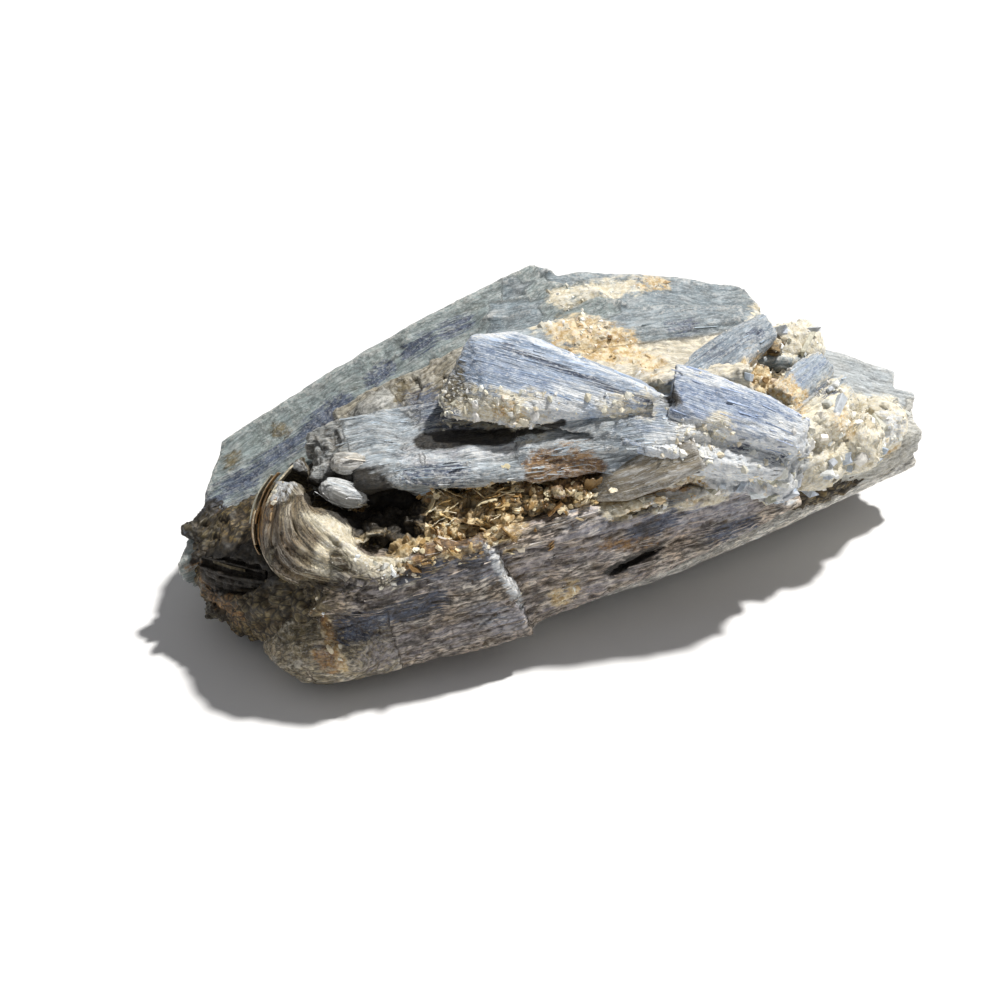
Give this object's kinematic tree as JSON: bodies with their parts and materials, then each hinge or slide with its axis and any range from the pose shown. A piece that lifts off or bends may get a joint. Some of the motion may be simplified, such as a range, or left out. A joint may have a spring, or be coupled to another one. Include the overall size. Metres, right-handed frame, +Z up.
{
  "type": "kyanite blade cluster",
  "caption": "Rough mineral specimen: striated grey-blue kyanite blades grown together in one wedge-shaped mass, with mica and quartz between them.",
  "frame": {"origin": "under the middle of the specimen, on the flat it rests on", "axes": "+X along the specimen's length towards its narrow crumbly end, +Y towards the back, +Z up"},
  "size_m": [0.1018, 0.042, 0.0373],
  "materials": {
    "kyanite": "pearly, striated grey-blue blades with cream quartz, golden mica and rusty stains"
  },
  "bodies": {
    "root": {"blade_cluster": "kyanite"}
  },
  "joints": []
}
